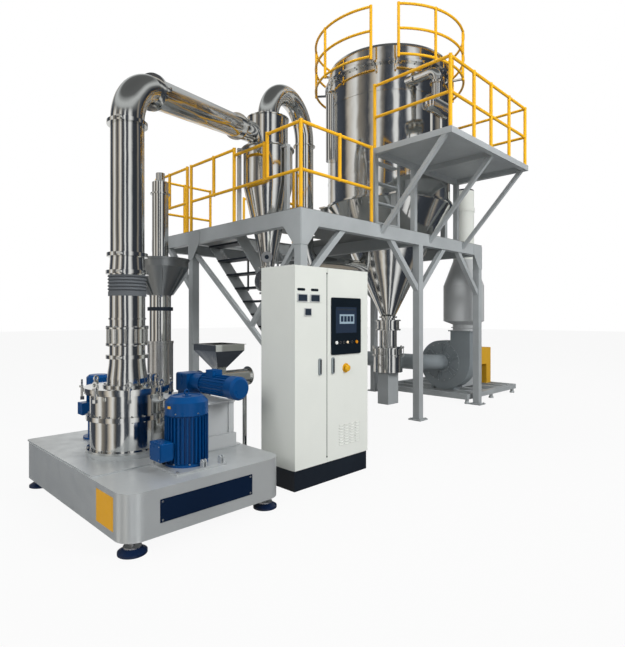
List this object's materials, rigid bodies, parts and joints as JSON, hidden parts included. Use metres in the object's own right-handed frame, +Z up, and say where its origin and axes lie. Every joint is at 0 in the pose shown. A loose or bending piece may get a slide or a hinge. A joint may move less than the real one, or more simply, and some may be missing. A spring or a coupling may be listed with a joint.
{
  "type": "air classifying mill",
  "caption": "Air classifying mill plant: mill with screw feeder, control cabinet, two-level platform with stairs, cyclone, bag filter and exhaust fan with stack.",
  "frame": {"origin": "on the floor under the middle of the plant's bounding box", "axes": "+Z up, +X along the long side from the mill to the fan, +Y from the cabinet's front towards the back of the platform"},
  "size_m": [9.68, 5.09, 6.99],
  "materials": {
    "silver_paint": "satin",
    "platform_grey": "satin",
    "light_grey": "satin",
    "blue_paint": "semi-gloss",
    "yellow_paint": "semi-gloss",
    "cabinet_white": "fine texture",
    "dark_paint": "satin",
    "stainless": "polished",
    "steel": "machined",
    "grey_rubber": "matte",
    "black_rubber": "matte",
    "felt": "felt",
    "black_plastic": "matte",
    "yellow_plastic": "gloss",
    "white_plastic": "gloss",
    "amber_plastic": "gloss"
  },
  "bodies": {
    "plant": {"mill_base": "silver_paint", "base_feet": "dark_paint", "grinding_chamber": "stainless", "toothed_liner": "steel", "bearing_housing": "steel", "classifying_chamber": "stainless", "shroud_ring": "stainless", "mill_cover": "stainless", "cover_clamps": "stainless", "outlet_bell": "stainless", "flexible_sleeve": "grey_rubber", "transfer_duct": "stainless", "main_motor": "blue_paint", "drive_belts": "black_rubber", "classifier_motor": "blue_paint", "feeder_trough": "stainless", "feed_hopper": "stainless", "feeder_gearmotor": "blue_paint", "cabinet_shell": "cabinet_white", "cabinet_plinth": "dark_paint", "platform_columns": "platform_grey", "platform_beams": "platform_grey", "platform_deck": "platform_grey", "platform_handrail": "yellow_paint", "platform_stairs": "platform_grey", "upper_platform": "platform_grey", "upper_handrails": "yellow_paint", "cyclone_body": "stainless", "air_ducts": "stainless", "cyclone_valve": "stainless", "filter_valve": "stainless", "filter_body": "stainless", "filter_hopper": "stainless", "filter_cover": "stainless", "filter_bags": "felt", "pulse_air_vessel": "stainless", "fan_housing": "platform_grey", "fan_motor": "blue_paint", "fan_guard": "yellow_paint", "fan_stack": "light_grey", "fan_skid": "platform_grey", "vent_vessel": "stainless"},
    "rotor": {"grinding_rotor": "steel", "rotor_shaft": "steel"},
    "classifier": {"classifier_wheel": "steel"},
    "main_motor_rotor": {"main_motor_shaft": "steel"},
    "classifier_motor_rotor": {"classifier_motor_shaft": "steel"},
    "screw": {"feed_screw": "stainless"},
    "cyclone_valve_wheel": {"cyclone_valve_rotor": "steel"},
    "filter_valve_wheel": {"filter_valve_rotor": "steel"},
    "fan_wheel": {"fan_impeller": "steel"},
    "fan_motor_rotor": {"fan_motor_shaft": "steel"},
    "left_leaf": {"left_door": "cabinet_white"},
    "right_leaf": {"right_door": "cabinet_white", "touch_panel": "black_plastic"},
    "left_grip": {"left_handle": "black_plastic"},
    "right_grip": {"right_handle": "black_plastic"},
    "stop_mushroom": {"emergency_button": "yellow_plastic"},
    "start_key": {"start_button": "white_plastic"},
    "stop_key": {"stop_button": "amber_plastic"}
  },
  "joints": [
    {"name": "rotor_spin", "type": "hinge", "parent": "plant", "child": "rotor", "pos_m": [-4.29, -1.405, 0.5], "axis": [0, 0, 1], "continuous": true},
    {"name": "main_motor_spin", "type": "hinge", "parent": "plant", "child": "main_motor_rotor", "pos_m": [-4.12, -2.155, 0.4], "axis": [0, 0, 1], "continuous": true},
    {"name": "classifier_spin", "type": "hinge", "parent": "plant", "child": "classifier", "pos_m": [-4.29, -1.405, 0.85], "axis": [0, 0, 1], "continuous": true},
    {"name": "classifier_motor_spin", "type": "hinge", "parent": "plant", "child": "classifier_motor_rotor", "pos_m": [-4.27, -0.685, 0.4], "axis": [0, 0, 1], "continuous": true},
    {"name": "feed_screw_spin", "type": "hinge", "parent": "plant", "child": "screw", "pos_m": [-3.2, -1.285, 1.02], "axis": [1, 0, 0], "continuous": true},
    {"name": "cyclone_valve_spin", "type": "hinge", "parent": "plant", "child": "cyclone_valve_wheel", "pos_m": [-1.5, -0.085, 2.23], "axis": [1, 0, 0], "continuous": true},
    {"name": "filter_valve_spin", "type": "hinge", "parent": "plant", "child": "filter_valve_wheel", "pos_m": [1.65, 0.015, 0.784], "axis": [0.7071, 0.7071, 0], "continuous": true},
    {"name": "fan_spin", "type": "hinge", "parent": "plant", "child": "fan_wheel", "pos_m": [3.6, -0.405, 0.76], "axis": [1, 0, 0], "continuous": true},
    {"name": "fan_motor_spin", "type": "hinge", "parent": "plant", "child": "fan_motor_rotor", "pos_m": [4.5, 0.4, 0.6], "axis": [1, 0, 0], "continuous": true},
    {"name": "left_door_hinge", "type": "hinge", "parent": "plant", "child": "left_leaf", "pos_m": [-3.068, -2.365, 1.2], "axis": [0, 0, -1], "range_deg": [0, 110]},
    {"name": "right_door_hinge", "type": "hinge", "parent": "plant", "child": "right_leaf", "pos_m": [-1.96, -2.365, 1.2], "axis": [0, 0, 1], "range_deg": [0, 110]},
    {"name": "left_handle_turn", "type": "hinge", "parent": "left_leaf", "child": "left_grip", "pos_m": [-2.73, -2.365, 1.14], "axis": [0, -1, 0], "range_deg": [0, 90]},
    {"name": "right_handle_turn", "type": "hinge", "parent": "right_leaf", "child": "right_grip", "pos_m": [-2.537, -2.365, 1.14], "axis": [0, 1, 0], "range_deg": [0, 90]},
    {"name": "emergency_push", "type": "slide", "parent": "right_leaf", "child": "stop_mushroom", "axis": [0, 1, 0], "range_m": [0, 0.006], "stiffness_N_per_m": 500},
    {"name": "start_push", "type": "slide", "parent": "right_leaf", "child": "start_key", "axis": [0, 1, 0], "range_m": [0, 0.003], "stiffness_N_per_m": 300},
    {"name": "stop_push", "type": "slide", "parent": "right_leaf", "child": "stop_key", "axis": [0, 1, 0], "range_m": [0, 0.003], "stiffness_N_per_m": 300}
  ],
  "couplings": [
    {"joint": "main_motor_spin", "follows": "rotor_spin", "ratio": 0.75},
    {"joint": "classifier_motor_spin", "follows": "classifier_spin", "ratio": 1},
    {"joint": "fan_motor_spin", "follows": "fan_spin", "ratio": 1.6667}
  ]
}
